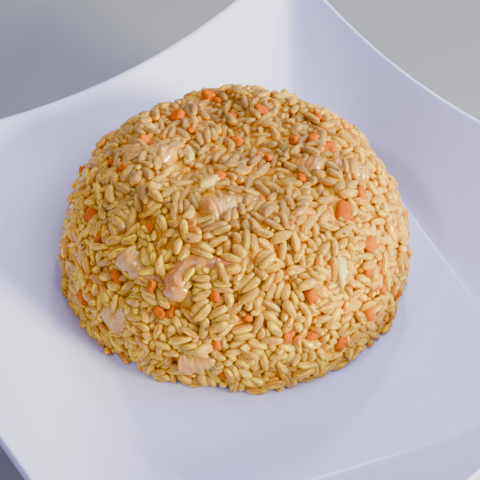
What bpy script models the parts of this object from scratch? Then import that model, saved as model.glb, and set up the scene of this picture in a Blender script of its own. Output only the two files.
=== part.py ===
"""A moulded dome of fried rice with prawns, on a square white plate with upswept corners.

Units are metres and +Z is up. The origin is the middle of the plate, on the surface that it stands on,
and the plate's sides face X and Y. A bearing is an angle about the heap's axis, anticlockwise from +X.
"""

import math
from dataclasses import dataclass

import bmesh
import bpy
from mathutils import Matrix, Vector, noise

GAP = 0.0003  # clearance between pieces that rest on each other

# The plate's outline: a square with concave sides and rounded corners
PLATE_HALF = 0.1196  # centre to the line through two corners
SIDE_BOW = 0.0134  # how far the middle of a side lies inside that line
BOW_POWER = 2.17
CORNER_POWER = 16  # higher is a sharper corner
RAYS_PER_SIDE = 22
CORNER_CROWDING = 0.7  # how much closer together the rays are near the corners

# Its rim, which climbs from the well's edge to the lip
FLOOR_Z = 0.0080  # the well's floor
WALL = 0.0048
RIM_RISE_SIDE = 0.0335  # lip above the floor, at the middle of a side
RIM_RISE_CORNER = 0.0499
RISE_POWER = 8  # how closely the corners keep their full rise
FOLD = 0.12  # share of the rim over which the floor turns up
RIM_STEPS = (0.0, 0.05, 0.12, 0.22, 0.38, 0.58, 0.8, 0.985)
LIP_STEPS = ((1.0, 0.3), (1.0, 0.75))  # share of the rim's width, depth as a share of the wall
UNDER_STEPS = (0.96, 0.7, 0.42, 0.2, 0.06)

# The well: a rounded oblong, turned against the plate's sides
WELL_CENTRE = Vector((0.0093, -0.0039, 0.0))
WELL_HALF = (0.0622, 0.0732)
WELL_TURN = math.radians(-21.8)
WELL_POWER = 4.5
FLOOR_RING = 0.6  # shares of the well's outline
FOOT_OUTER = 0.92
FOOT_INNER = 0.82
FOOT_SLOPE = 0.03

# The heap: a bowl's form turned out onto the floor, flat and a little dished on top
HEAP_AXIS = Vector((0.0074, 0.0206, 0.0))
HEAP_RADIUS = 0.0625
HEAP_CROWN = 0.0602  # height that the flanks would reach without the flat top
FLANK_POWER = 1.954
CROWN_POWER = 2.443
TOP_LEVEL = 0.0513  # above the floor
TOP_RADIUS = 0.0345
TOP_DISH = 0.0015
SHOULDER = 0.0013  # softness of the edge between the flank and the top
HEAP_RAYS = 64
HEAP_ROWS = 18
LUMP_HEIGHT = 0.0026
LUMP_SIZE = 0.0105
HEAP_SUNK = 0.004  # how far the uncut heap reaches below the floor

# The prawns: a curved, tapering, ringed body
PRAWN_RINGS = 10
PRAWN_SIDES = 8
PRAWN_AXIS_STEPS = 40
PRAWN_FLATNESS = 0.85
PRAWN_RIDGE = 0.05
PRAWN_SEGMENTS = 4
HEAD_ROUND = 0.16  # share of the length over which the cut end rounds off
TAIL_GIRTH = 0.45  # share of the full girth


@dataclass(frozen=True)
class Prawn:
    """Where a prawn lies on the heap and how it is bent, in metres and degrees."""

    name: str
    bearing: float  # about the heap's axis
    rise: float  # 0 at the heap's foot, 90 at the middle of its top
    heading: float  # of the body's middle, anticlockwise from the horizontal, seen from outside
    length: float
    girth: float
    curl: float  # total turn from the cut end to the tail
    depth: float  # of the body's axis below the rice, as a share of the girth
    bend: tuple = (0.0, 1.0)  # shares of the length between which the body turns


PRAWNS = (
    Prawn("prawn_curled", -146, 39.5, 58, 0.0270, 0.0092, -100, 0.30, (0.12, 0.62)),
    Prawn("prawn_top_left", 142, 62, -90, 0.0185, 0.0118, 80, 0.28),
    Prawn("prawn_top_front", -130, 64, 10, 0.0230, 0.0125, -55, 0.32),
    Prawn("prawn_top_right", -54, 67, 80, 0.0125, 0.0094, 30, 0.34),
    Prawn("prawn_shoulder", -48, 51, 95, 0.0140, 0.0100, -40, 0.32),
    Prawn("prawn_left_flank", -165, 32, -10, 0.0190, 0.0108, 40, 0.32),
    Prawn("prawn_left_foot", -165, 16, 25, 0.0240, 0.0130, -70, 0.32),
    Prawn("prawn_left_shoulder", 169, 44.5, 152, 0.0210, 0.0095, -20, 0.34),
    Prawn("prawn_front_foot", -141, 8, 15, 0.0130, 0.0092, 30, 0.20),
)


def smallest(first, second, softness):
    """The smaller of two values, rounded off where they cross."""
    return -softness * math.log(math.exp(-first / softness) + math.exp(-second / softness))


def side_reach(angle):
    """Distance from the centre to a side's curve along a ray `angle` away from the side's normal."""
    slope = abs(math.tan(angle))
    across = PLATE_HALF * slope
    for _ in range(12):
        out = PLATE_HALF - SIDE_BOW * (1 - (across / PLATE_HALF) ** BOW_POWER)
        across = out * slope
    return math.hypot(out, across)


def off_normal(bearing):
    """Angle between a ray and the normal of the side that it crosses, at most 45 degrees."""
    quarter = math.pi / 2
    return abs((bearing + quarter / 2) % quarter - quarter / 2)


def lip_point(bearing):
    """Point of the plate's outline on a ray from its centre, in plan."""
    near = side_reach(off_normal(bearing))
    beyond = math.pi / 2 - off_normal(bearing)
    reach = near
    if beyond < math.radians(62):
        far = side_reach(beyond)
        reach = (near ** -CORNER_POWER + far ** -CORNER_POWER) ** (-1 / CORNER_POWER)
    return Vector((math.cos(bearing), math.sin(bearing), 0)) * reach


def rim_rise(bearing):
    """Height of the lip above the floor on a ray from the plate's centre."""
    along = max(math.tan(off_normal(bearing)), 0.01)
    to_corner = (along ** -RISE_POWER + along ** RISE_POWER) ** (-1 / RISE_POWER)
    return RIM_RISE_SIDE + (RIM_RISE_CORNER - RIM_RISE_SIDE) * to_corner ** 2


def well_point(bearing):
    """Point of the well's edge in plan, on a ray from the well's own centre."""
    turned = bearing - WELL_TURN
    across = abs(math.cos(turned)) / WELL_HALF[0]
    along = abs(math.sin(turned)) / WELL_HALF[1]
    reach = (across ** WELL_POWER + along ** WELL_POWER) ** (-1 / WELL_POWER)
    return WELL_CENTRE + Vector((math.cos(bearing), math.sin(bearing), 0)) * reach


def climb(share):
    """Share of the rim's rise at a share of its width: a short fold, then an even slope."""
    return (math.hypot(share, FOLD) - FOLD) / (math.hypot(1, FOLD) - FOLD)


def steepness(bearing, share):
    """Rise over run of the rim's upper face."""
    width = (lip_point(bearing) - well_point(bearing)).length
    return rim_rise(bearing) / width * share / math.hypot(share, FOLD)


def plate_rays():
    """Bearings around the plate, closer together towards its corners."""
    bearings = []
    for side in range(4):
        for step in range(RAYS_PER_SIDE):
            along = 2 * step / RAYS_PER_SIDE - 1
            crowded = math.sin(math.pi / 2 * along)
            blend = (1 - CORNER_CROWDING) * along + CORNER_CROWDING * crowded
            bearings.append(side * math.pi / 2 + math.pi / 4 * blend)
    return bearings


def floor_ring(share, height):
    """Ring at a share of the well's outline."""
    ring = []
    for bearing in plate_rays():
        point = WELL_CENTRE.lerp(well_point(bearing), share)
        ring.append(point + Vector((0, 0, height)))
    return ring


def rim_ring(share, depth):
    """Ring at a share of the way from the well's edge to the lip, `depth` below the rim's upper face."""
    ring = []
    for bearing in plate_rays():
        point = well_point(bearing).lerp(lip_point(bearing), share)
        straight_down = depth * math.hypot(1, steepness(bearing, share))
        point.z = FLOOR_Z + rim_rise(bearing) * climb(share) - straight_down
        ring.append(point)
    return ring


def loft(name, first_pole, rings, last_pole):
    """Closed body through rings of equal count, which run anticlockwise seen from the first pole."""
    mesh = bmesh.new()
    skins = [[mesh.verts.new(point) for point in ring] for ring in rings]
    count = len(rings[0])
    start = mesh.verts.new(first_pole)
    end = mesh.verts.new(last_pole)
    for index in range(count):
        after = (index + 1) % count
        mesh.faces.new((start, skins[0][index], skins[0][after]))
        for upper, lower in zip(skins, skins[1:]):
            mesh.faces.new((upper[index], lower[index], lower[after], upper[after]))
        mesh.faces.new((end, skins[-1][after], skins[-1][index]))
    data = bpy.data.meshes.new(name)
    mesh.to_mesh(data)
    mesh.free()
    data.shade_smooth()
    data.set_sharp_from_angle(angle=math.radians(40))
    return bpy.data.objects.new(name, data)


def plate_body():
    """The plate: floor, rim, lip, underside and foot."""
    rings = [floor_ring(FLOOR_RING, FLOOR_Z)]
    rings += [rim_ring(share, 0) for share in RIM_STEPS]
    rings += [rim_ring(share, depth * WALL) for share, depth in LIP_STEPS]
    rings += [rim_ring(share, WALL) for share in UNDER_STEPS]
    under = FLOOR_Z - WALL
    rings.append(floor_ring(FOOT_OUTER + FOOT_SLOPE, under))
    rings.append(floor_ring(FOOT_OUTER, 0))
    rings.append(floor_ring(FOOT_INNER, 0))
    rings.append(floor_ring(FOOT_INNER - FOOT_SLOPE, under))
    top = WELL_CENTRE + Vector((0, 0, FLOOR_Z))
    bottom = WELL_CENTRE + Vector((0, 0, under))
    return loft("plate", top, rings, bottom)


def bed_cutter():
    """Everything below the plate's upper face, raised by the gap."""
    rings = [floor_ring(FLOOR_RING, FLOOR_Z + GAP)]
    rings += [rim_ring(share, -GAP) for share in RIM_STEPS]
    below = -0.02
    rings.append([Vector((point.x, point.y, below)) for point in rings[-1]])
    top = WELL_CENTRE + Vector((0, 0, FLOOR_Z + GAP))
    return loft("bed", top, rings, WELL_CENTRE + Vector((0, 0, below)))


def heap_point(bearing, rise):
    """Point on the heap's smooth form, from its foot (rise 0) to the middle of its top (rise a right angle)."""
    radius = HEAP_RADIUS * math.cos(rise) ** (2 / FLANK_POWER)
    flank = HEAP_CROWN * math.sin(rise) ** (2 / CROWN_POWER)
    dished = TOP_LEVEL - TOP_DISH * (1 - (radius / TOP_RADIUS) ** 2)
    height = FLOOR_Z + smallest(flank, dished, SHOULDER)
    return HEAP_AXIS + Vector((math.cos(bearing) * radius, math.sin(bearing) * radius, height))


def heap_frame(bearing, rise):
    """Place on the heap: X level, Y up the flank and Z straight out of the rice."""
    step = 0.01
    point = heap_point(bearing, rise)
    level = Vector((-math.sin(bearing), math.cos(bearing), 0))
    upward = (heap_point(bearing, rise + step) - heap_point(bearing, rise - step)).normalized()
    out = level.cross(upward)
    frame = Matrix((level, upward, out)).transposed().to_4x4()
    return Matrix.Translation(point) @ frame


def lumpy(point, out):
    """The point moved in or out by the clumps of rice."""
    return point + out * LUMP_HEIGHT * noise.noise(point / LUMP_SIZE)


def heap_body():
    """The rice out to its uneven surface, before the plate and the prawns are cut from it."""
    middle = heap_point(0, math.pi / 2)
    rings = []
    for row in range(HEAP_ROWS - 1, -1, -1):
        rise = math.pi / 2 * row / HEAP_ROWS
        ring = []
        for index in range(HEAP_RAYS):
            bearing = 2 * math.pi * index / HEAP_RAYS
            place = heap_frame(bearing, max(rise, 0.02))
            ring.append(lumpy(heap_point(bearing, rise), place.col[2].to_3d()))
        rings.append(ring)
    below = FLOOR_Z - HEAP_SUNK
    rings.append([Vector((point.x, point.y, below)) for point in rings[-1]])
    return loft("fried_rice", middle, rings, HEAP_AXIS + Vector((0, 0, below)))


def prawn_girth(share):
    """Girth of a prawn at a share of its length: a round cut end, rings, and a thin tail."""
    start = min(share / HEAD_ROUND, 1)
    end = min((1 - share) / HEAD_ROUND, 1)
    rounded = math.sqrt(1 - (1 - start) ** 2) * math.sqrt(1 - (1 - end) ** 2)
    taper = 1 - (1 - TAIL_GIRTH) * share ** 1.5
    ridge = 1 + PRAWN_RIDGE * math.cos(2 * math.pi * PRAWN_SEGMENTS * share)
    return rounded * taper * ridge


def prawn_way(prawn, share):
    """Direction of a prawn's axis at a share of its length, in its place's own plane."""
    begins, ends = prawn.bend
    turned = min(max((share - begins) / (ends - begins), 0), 1)
    angle = math.radians(prawn.heading + prawn.curl * (turned - 0.5))
    return Vector((math.cos(angle), math.sin(angle), 0))


def prawn_axis(prawn, share):
    """Point and direction of a prawn's axis in its place's own plane."""
    point = Vector((0, 0, 0))
    for step in range(PRAWN_AXIS_STEPS):
        passed = share * (step + 0.5) / PRAWN_AXIS_STEPS
        point += prawn_way(prawn, passed) * (prawn.length * share / PRAWN_AXIS_STEPS)
    return point, prawn_way(prawn, share)


def prawn_body(prawn, grow, label):
    """A prawn lying in the rice, its surface moved out by `grow`."""
    place = heap_frame(math.radians(prawn.bearing), math.radians(prawn.rise))
    middle = prawn_axis(prawn, 0.5)[0]
    sunk = Vector((0, 0, -prawn.depth * prawn.girth))
    rings = []
    for step in range(PRAWN_RINGS):
        share = 0.03 + 0.94 * step / (PRAWN_RINGS - 1)
        centre, forward = prawn_axis(prawn, share)
        radius = prawn.girth / 2 * prawn_girth(share) + grow
        sideways = forward.cross(Vector((0, 0, 1)))
        ring = []
        for side in range(PRAWN_SIDES):
            angle = 2 * math.pi * side / PRAWN_SIDES
            offset = sideways * math.cos(angle) + Vector((0, 0, PRAWN_FLATNESS * math.sin(angle)))
            ring.append(place @ (centre - middle + sunk + offset * radius))
        rings.append(ring)
    poles = []
    for share, outward in ((0, -grow), (1, grow)):
        centre, forward = prawn_axis(prawn, share)
        poles.append(place @ (centre - middle + sunk + forward * outward))
    return loft(label, poles[0], rings, poles[1])


def material(name, colour, roughness):
    """A plain finish with a colour and a roughness."""
    finish = bpy.data.materials.new(name)
    finish.use_nodes = True
    shader = finish.node_tree.nodes["Principled BSDF"]
    shader.inputs["Base Color"].default_value = (*colour, 1)
    shader.inputs["Roughness"].default_value = roughness
    shader.inputs["Metallic"].default_value = 0
    return finish


def add_cutter(body, collection):
    """Put a cutter where the build leaves it out."""
    collection.objects.link(body)
    body.hide_render = True
    body.display_type = "WIRE"


def cut(body, name, collection):
    """Cut every body of a collection out of another body."""
    modifier = body.modifiers.new(name, "BOOLEAN")
    modifier.operation = "DIFFERENCE"
    modifier.solver = "EXACT"
    modifier.operand_type = "COLLECTION"
    modifier.collection = collection


def main():
    """Build the plate, the heap and the prawns."""
    for old in list(bpy.data.objects):
        bpy.data.objects.remove(old)
    scene = bpy.context.scene.collection
    parts = bpy.data.collections.new("fried_rice_on_plate")
    beds = bpy.data.collections.new("bed_cutters")
    pockets = bpy.data.collections.new("pocket_cutters")
    for collection in (parts, beds, pockets):
        scene.children.link(collection)

    plate = plate_body()
    plate.data.materials.append(material("white_glaze", (0.66, 0.67, 0.75), 0.12))
    parts.objects.link(plate)

    heap = heap_body()
    heap.data.materials.append(material("fried_rice", (0.66, 0.43, 0.16), 0.4))
    parts.objects.link(heap)
    add_cutter(bed_cutter(), beds)
    cut(heap, "resting face", beds)
    cut(heap, "prawn pockets", pockets)

    prawn_flesh = material("prawn_flesh", (0.74, 0.45, 0.27), 0.3)
    for prawn in PRAWNS:
        body = prawn_body(prawn, 0, prawn.name)
        body.data.materials.append(prawn_flesh)
        parts.objects.link(body)
        add_cutter(prawn_body(prawn, GAP, prawn.name + "_pocket"), pockets)


main()
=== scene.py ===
"""A moulded dome of fried rice with prawns on a square white plate: its finishes and fine shapes.

Everything is in metres, +Z up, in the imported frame's own axes. A bearing is an angle about the heap's
axis, anticlockwise from +X, and a rise goes from 0 at the heap's foot to a right angle at its middle.
"""

import logging
import math
import random
from dataclasses import dataclass, field
from enum import Enum
from typing import Callable, Sequence

import bpy
import numpy as np
from mathutils import Matrix, Vector, noise
from mathutils.bvhtree import BVHTree
from mathutils.kdtree import KDTree


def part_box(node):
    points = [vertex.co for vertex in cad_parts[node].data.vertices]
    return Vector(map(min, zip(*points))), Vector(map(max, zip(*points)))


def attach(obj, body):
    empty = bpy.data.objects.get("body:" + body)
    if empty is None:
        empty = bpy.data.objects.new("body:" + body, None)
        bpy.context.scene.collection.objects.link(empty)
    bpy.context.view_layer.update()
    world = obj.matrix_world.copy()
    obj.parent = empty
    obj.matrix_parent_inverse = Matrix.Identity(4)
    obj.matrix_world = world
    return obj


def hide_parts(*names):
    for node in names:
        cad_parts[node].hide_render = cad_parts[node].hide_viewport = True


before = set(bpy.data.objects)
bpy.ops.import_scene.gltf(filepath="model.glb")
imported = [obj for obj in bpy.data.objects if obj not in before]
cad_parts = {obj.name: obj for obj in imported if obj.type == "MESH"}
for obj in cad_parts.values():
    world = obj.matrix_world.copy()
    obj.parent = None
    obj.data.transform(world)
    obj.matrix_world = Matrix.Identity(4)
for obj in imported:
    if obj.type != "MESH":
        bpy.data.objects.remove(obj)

LOG = logging.getLogger("fried_rice")
MM = 0.001
BODY = "root"
GRAIN_LENGTHS = (4.4 * MM, 8.8 * MM)
GRAIN_WIDTHS = (2.3 * MM, 3.3 * MM)


class Slot(Enum):
    """The record's material slots."""

    GLAZE = "glaze"
    RICE = "rice"
    PRAWN = "prawn"


def held(value: float, low: float = 0.0, high: float = 1.0) -> float:
    """The value held between two limits."""
    return min(max(value, low), high)


# ---------------------------------------------------------------- shader tools


class Flow:
    """A value, colour or vector that flows through a material's nodes."""

    def __init__(self, bench: "Bench", socket: bpy.types.NodeSocket) -> None:
        """Wrap an output socket.

        Args:
            bench: The material that the socket is in.
            socket: The output that carries the flow.
        """
        self.bench = bench
        self.socket = socket

    def __add__(self, other: "Flow | float") -> "Flow":
        """Add."""
        return self.bench.maths("ADD", self, other)

    __radd__ = __add__

    def __sub__(self, other: "Flow | float") -> "Flow":
        """Subtract."""
        return self.bench.maths("SUBTRACT", self, other)

    def __rsub__(self, other: float) -> "Flow":
        """Subtract from a number."""
        return self.bench.maths("SUBTRACT", other, self)

    def __mul__(self, other: "Flow | float") -> "Flow":
        """Multiply."""
        return self.bench.maths("MULTIPLY", self, other)

    __rmul__ = __mul__

    def clamped(self) -> "Flow":
        """The value held between 0 and 1."""
        return self.bench.maths("ADD", self, 0.0, use_clamp=True)

    def between(self, low: float, high: float) -> "Flow":
        """The value's smooth step from 0 at `low` to 1 at `high`."""
        ends = {"From Min": low, "From Max": high}
        settings = {"interpolation_type": "SMOOTHSTEP"}
        return self.bench.node("ShaderNodeMapRange", settings, {"Value": self, **ends})


class Bench:
    """A material being made: its node tree and its one Principled shader."""

    def __init__(self, name: str) -> None:
        """Start a material.

        Args:
            name: The material's name.
        """
        self.material = bpy.data.materials.new(name)
        self.material.use_nodes = True
        self.tree = self.material.node_tree
        self.shader = self.tree.nodes["Principled BSDF"]

    def node(self, kind: str, settings: dict, inputs: dict, output: int | str = 0) -> Flow:
        """Add a node.

        Args:
            kind: The node's type.
            settings: Its own settings, such as an operation, set first.
            inputs: Values or flows for its sockets, by name or index.
            output: The output to carry on from.

        Returns:
            The chosen output.
        """
        made = self.tree.nodes.new(kind)
        for name, value in settings.items():
            setattr(made, name, value)
        for name, value in inputs.items():
            self.feed(made.inputs[name], value)
        return Flow(self, made.outputs[output])

    def feed(self, socket: bpy.types.NodeSocket, value: "Flow | float | Sequence[float]") -> None:
        """Link a flow to a socket, or set the socket's own value."""
        if isinstance(value, Flow):
            self.tree.links.new(value.socket, socket)
        else:
            socket.default_value = value

    def maths(self, operation: str, first: "Flow | float", second: "Flow | float",
              use_clamp: bool = False) -> Flow:
        """Add a Math node.

        Args:
            operation: What it does.
            first: Its first value.
            second: Its second value.
            use_clamp: Whether the result is held between 0 and 1.

        Returns:
            The result.
        """
        settings = {"operation": operation, "use_clamp": use_clamp}
        return self.node("ShaderNodeMath", settings, {0: first, 1: second})

    def mix(self, share: "Flow | float", first: "Flow | tuple", second: "Flow | tuple") -> Flow:
        """Mix two colours.

        Args:
            share: How much of the second colour shows.
            first: The first colour.
            second: The second colour.

        Returns:
            The mixed colour.
        """
        colours = [c if isinstance(c, Flow) else (*c, 1.0) for c in (first, second)]
        inputs = {0: share, 6: colours[0], 7: colours[1]}
        return self.node("ShaderNodeMix", {"data_type": "RGBA"}, inputs, 2)

    def place(self) -> Flow:
        """The point being shaded, in metres."""
        return self.node("ShaderNodeTexCoord", {}, {}, "Object")

    def noise(self, size: float, detail: float = 2.0, rough: float = 0.5, at: Flow | None = None) -> Flow:
        """Cloudy noise.

        Args:
            size: The width of its blotches in metres.
            detail: How many finer layers it has.
            rough: How strong the finer layers are.
            at: Where it is read, or none for the point being shaded.

        Returns:
            The noise, from 0 to 1.
        """
        spot = at or self.place()
        inputs = {"Vector": spot, "Scale": 1 / size, "Detail": detail, "Roughness": rough}
        return self.node("ShaderNodeTexNoise", {}, inputs, 0)

    def mark(self, name: str, output: str = "Fac") -> Flow:
        """A value, or a vector, that the mesh carries under a name."""
        return self.node("ShaderNodeAttribute", {"attribute_name": name}, {}, output)

    def bump(self, height: Flow, depth: float, strength: float = 1.0) -> Flow:
        """A surface relief.

        Args:
            height: The relief, from 0 to 1.
            depth: Its real depth in metres.
            strength: How much of it shows.

        Returns:
            The bent normal.
        """
        inputs = {"Height": height, "Distance": depth, "Strength": strength}
        return self.node("ShaderNodeBump", {}, inputs)

    def finish(self, **inputs: "Flow | float | tuple") -> bpy.types.Material:
        """Set the shader's sockets.

        Args:
            inputs: Values or flows, named as the sockets with _ for a space.

        Returns:
            The finished material.
        """
        for name, value in inputs.items():
            socket = self.shader.inputs[name.replace("_", " ")]
            self.feed(socket, (*value, 1.0) if socket.type == "RGBA" and isinstance(value, tuple) else value)
        return self.material


# ---------------------------------------------------------------- finishes


@dataclass(frozen=True)
class Glaze:
    """White glaze over porcelain: glossy, with faint waves and a faint cloudiness, tinted blue as a painted
    skylight cast.
    """

    # The blue in these colours is a painted cast of blue skylight.
    white: tuple = (0.57, 0.60, 0.95)
    cloud: tuple = (0.55, 0.58, 0.94)
    roughness: float = 0.22

    def material(self) -> bpy.types.Material:
        """Make the material."""
        bench = Bench("white_glaze")
        colour = bench.mix(bench.noise(35 * MM), self.white, self.cloud)
        waves = bench.bump(bench.noise(18 * MM, 1.0), 0.15 * MM, 0.35)
        rough = bench.noise(12 * MM) * 0.08 + self.roughness
        return bench.finish(Base_Color=colour, Roughness=rough, Normal=waves, IOR=1.5)


@dataclass(frozen=True)
class Grains:
    """Cooked rice fried in oil: cream to golden, a little clear, with a wet gloss."""

    cream: tuple = (0.51, 0.275, 0.025)
    golden: tuple = (0.36, 0.15, 0.015)
    # Painted glow of light passing through the grains into the gaps, along with oil.
    oil_and_gap_glow: tuple = (0.72, 0.31, 0.005)
    milky: tuple = (0.92, 0.56, 0.0)
    # Painted shade for the flat top, along with soy browning.
    soy_brown_and_top_shade: tuple = (0.20, 0.11, 0.05)
    streak_size: float = 0.45 * MM
    streaky: float = 4.4
    chalk_size: float = 1.1 * MM
    chalk_edge: tuple = (0.50, 0.60)
    chalky: float = 0.85
    wet_size: float = 0.9 * MM
    wet_edge: tuple = (0.47, 0.58)
    clearness: float = 3.5 * MM
    gloss: float = 0.15

    def material(self) -> bpy.types.Material:
        """Make the material.

        The mesh marks each grain's tone, how deep each point lies and how far it faces sideways, how brown
        the rice is there, and a place of its own along the grain, squeezed lengthwise. Deep and
        sideways-facing points are painted a brighter amber, a painted glow of light through the grains into
        the gaps, along with oil; the brown mark paints shade on the flat top, along with soy browning.
        """
        bench = Bench("fried_rice_grains")
        own = bench.mark("own", "Vector")
        streaks = bench.noise(self.streak_size, 3.0, 0.7, own)
        tone = (bench.mark("tone") + streaks * self.streaky - self.streaky / 2).clamped()
        colour = bench.mix(tone, self.cream, self.golden)
        chalk = bench.noise(self.chalk_size, 3.0, 0.6, own).between(*self.chalk_edge)
        colour = bench.mix(chalk * self.chalky, colour, self.milky)
        # The brown mark paints shade on the flat top, along with soy browning and random clouds.
        colour = bench.mix(bench.mark("brown"), colour, self.soy_brown_and_top_shade)
        # Deep and sideways-facing points are painted a brighter amber: a painted glow of light through the
        # grains into the gaps, along with oil.
        oily = bench.mark("depth").between(0.15, 0.7) + bench.mark("side").between(0.4, 1.0) * 0.4
        colour = bench.mix(oily.clamped(), colour, self.oil_and_gap_glow)
        wrinkles = bench.noise(0.5 * MM, 2.0, 0.6, own) * 0.7 + bench.noise(1.0 * MM, 2.0)
        skin = bench.bump(wrinkles, 0.3 * MM, 0.9)
        wet = bench.noise(self.wet_size, 2.0).between(*self.wet_edge)
        rough = bench.noise(1.5 * MM) * 0.3 + self.gloss
        return bench.finish(Base_Color=colour, Roughness=rough, Normal=skin,
                            Specular_IOR_Level=0.2, Specular_Tint=(1.0, 0.8, 0.5),
                            Coat_Weight=wet, Coat_Roughness=0.10, Coat_IOR=1.38,
                            Subsurface_Weight=1.0, Subsurface_Scale=self.clearness,
                            Subsurface_Radius=(1.0, 0.85, 0.4))


@dataclass(frozen=True)
class Core:
    """The oily rice seen deep between the grains."""

    dark: tuple = (0.54, 0.24, 0.0)
    amber: tuple = (0.68, 0.36, 0.01)

    def material(self) -> bpy.types.Material:
        """Make the material."""
        bench = Bench("deep_rice")
        colour = bench.mix(bench.noise(3 * MM, 3.0), self.dark, self.amber)
        relief = bench.bump(bench.noise(1.5 * MM, 2.0), 0.5 * MM, 0.8)
        rough = bench.noise(2 * MM) * 0.2 + 0.35
        return bench.finish(Base_Color=colour, Roughness=rough, Normal=relief, Specular_IOR_Level=0.2)


@dataclass(frozen=True)
class Prawn:
    """Cooked prawn: cream flesh, ringed and blushed with pink along its back and tail."""

    flesh: tuple = (0.48, 0.22, 0.01)
    blush: tuple = (0.46, 0.12, 0.02)
    pale: tuple = (0.54, 0.32, 0.05)
    stain: tuple = (0.50, 0.19, 0.0)
    pinkness: float = 1.0
    name: str = "prawn_flesh"

    def material(self) -> bpy.types.Material:
        """Make the material. The mesh marks `along` the body, its `back` and its `ring` grooves."""
        bench = Bench(self.name)
        mottled = bench.noise(2.5 * MM, 4.0, 0.6).between(0.35, 0.65)
        colour = bench.mix(mottled, self.flesh, self.pale)
        back = (bench.mark("back") * (mottled * 0.8 + 0.6)).clamped()
        tail = bench.mark("along").between(0.55, 1.0) * 0.6
        pink = ((back * 0.8 + tail) * self.pinkness).clamped()
        colour = bench.mix(pink, colour, self.blush)
        oily = bench.noise(7 * MM, 3.0).between(0.50, 0.68) * 0.8 + bench.mark("ring") * 0.45
        colour = bench.mix(oily.clamped(), colour, self.stain)
        folds = bench.bump(bench.noise(2.4 * MM, 3.0, 0.5), 0.45 * MM, 0.6)
        rough = bench.noise(1.5 * MM) * 0.3 + 0.12
        return bench.finish(Base_Color=colour, Roughness=rough, Normal=folds, Specular_IOR_Level=0.5,
                            Coat_Weight=0.7, Coat_Roughness=0.1,
                            Subsurface_Weight=0.6, Subsurface_Scale=1.5 * MM,
                            Subsurface_Radius=(1.0, 0.5, 0.25))


@dataclass(frozen=True)
class Carrot:
    """Cooked carrot: deep orange, moist, with a fine grain."""

    bright: tuple = (0.56, 0.125, 0.0)
    deep: tuple = (0.40, 0.07, 0.0)

    def material(self) -> bpy.types.Material:
        """Make the material."""
        bench = Bench("carrot")
        tone = (bench.mark("tone") * 0.6 + bench.noise(1.6 * MM, 3.0) * 0.5).clamped()
        colour = bench.mix(tone, self.bright, self.deep)
        relief = bench.bump(bench.noise(0.6 * MM, 3.0), 0.12 * MM, 0.6)
        rough = bench.noise(2 * MM) * 0.2 + 0.3
        return bench.finish(Base_Color=colour, Roughness=rough, Normal=relief, Specular_IOR_Level=0.06,
                            Specular_Tint=(1.0, 0.5, 0.1))


@dataclass(frozen=True)
class Egg:
    """Scrambled egg: soft yellow crumbs with white parts."""

    yolk: tuple = (0.56, 0.32, 0.015)
    white: tuple = (0.60, 0.44, 0.12)

    def material(self) -> bpy.types.Material:
        """Make the material. The mesh marks how white each crumb is."""
        bench = Bench("scrambled_egg")
        share = (bench.mark("tone") + bench.noise(2.5 * MM) * 0.6 - 0.55).clamped()
        colour = bench.mix(share, self.yolk, self.white)
        relief = bench.bump(bench.noise(1.0 * MM, 3.0), 0.25 * MM, 0.7)
        rough = bench.noise(2 * MM) * 0.2 + 0.35
        return bench.finish(Base_Color=colour, Roughness=rough, Normal=relief,
                            Subsurface_Weight=0.3, Subsurface_Scale=1.5 * MM,
                            Subsurface_Radius=(1.5, 1.0, 0.4))


@dataclass(frozen=True)
class Pepper:
    """Cracked black pepper."""

    dark: tuple = (0.035, 0.022, 0.012)
    brown: tuple = (0.12, 0.07, 0.03)

    def material(self) -> bpy.types.Material:
        """Make the material."""
        bench = Bench("black_pepper")
        colour = bench.mix(bench.noise(0.4 * MM, 3.0), self.dark, self.brown)
        relief = bench.bump(bench.noise(0.3 * MM), 0.08 * MM, 0.6)
        return bench.finish(Base_Color=colour, Roughness=0.55, Normal=relief)


@dataclass(frozen=True)
class Floor:
    """A plain pale studio floor."""

    tone: tuple = (0.22, 0.24, 0.28)

    def material(self) -> bpy.types.Material:
        """Make the material."""
        return Bench("studio_floor").finish(Base_Color=self.tone, Roughness=0.8)


# ---------------------------------------------------------------- mesh tools


def stand(name: str, data: bpy.types.ID) -> bpy.types.Object:
    """Put an object that shows some data into the scene."""
    body = bpy.data.objects.new(name, data)
    bpy.context.scene.collection.objects.link(body)
    return body


def mesh_object(name: str, points: np.ndarray, faces: Sequence, marks: dict[str, np.ndarray],
                finish: bpy.types.Material) -> bpy.types.Object:
    """Make a smooth mesh object in the scene.

    Args:
        name: The piece's name.
        points: Its vertices, one row each.
        faces: Its faces as tuples of vertex numbers.
        marks: Values or vectors for each vertex, by name, for the finish to read.
        finish: Its material.

    Returns:
        The object.
    """
    mesh = bpy.data.meshes.new(name)
    mesh.from_pydata(np.asarray(points).tolist(), [], faces)
    for label, values in marks.items():
        wide = values.ndim == 2
        mark = mesh.attributes.new(label, "FLOAT_VECTOR" if wide else "FLOAT", "POINT")
        mark.data.foreach_set("vector" if wide else "value", np.asarray(values, np.float32).ravel())
    mesh.validate()
    mesh.shade_smooth()
    mesh.materials.append(finish)
    return stand(name, mesh)


def loft_faces(rows: int, count: int) -> list[tuple[int, ...]]:
    """Faces of a closed loft of `rows` rings of `count` points, with a pole before and after them.

    Args:
        rows: How many rings there are.
        count: How many points each has.

    Returns:
        Faces that count the first pole as 0, then the rings, then the last pole.
    """
    faces: list[tuple[int, ...]] = []
    last = 1 + rows * count
    for index in range(count):
        after = (index + 1) % count
        faces.append((0, 1 + index, 1 + after))
        for row in range(rows - 1):
            upper, lower = 1 + row * count, 1 + (row + 1) * count
            faces.append((upper + index, lower + index, lower + after, upper + after))
        ring = last - count
        faces.append((last, ring + after, ring + index))
    return faces


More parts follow.
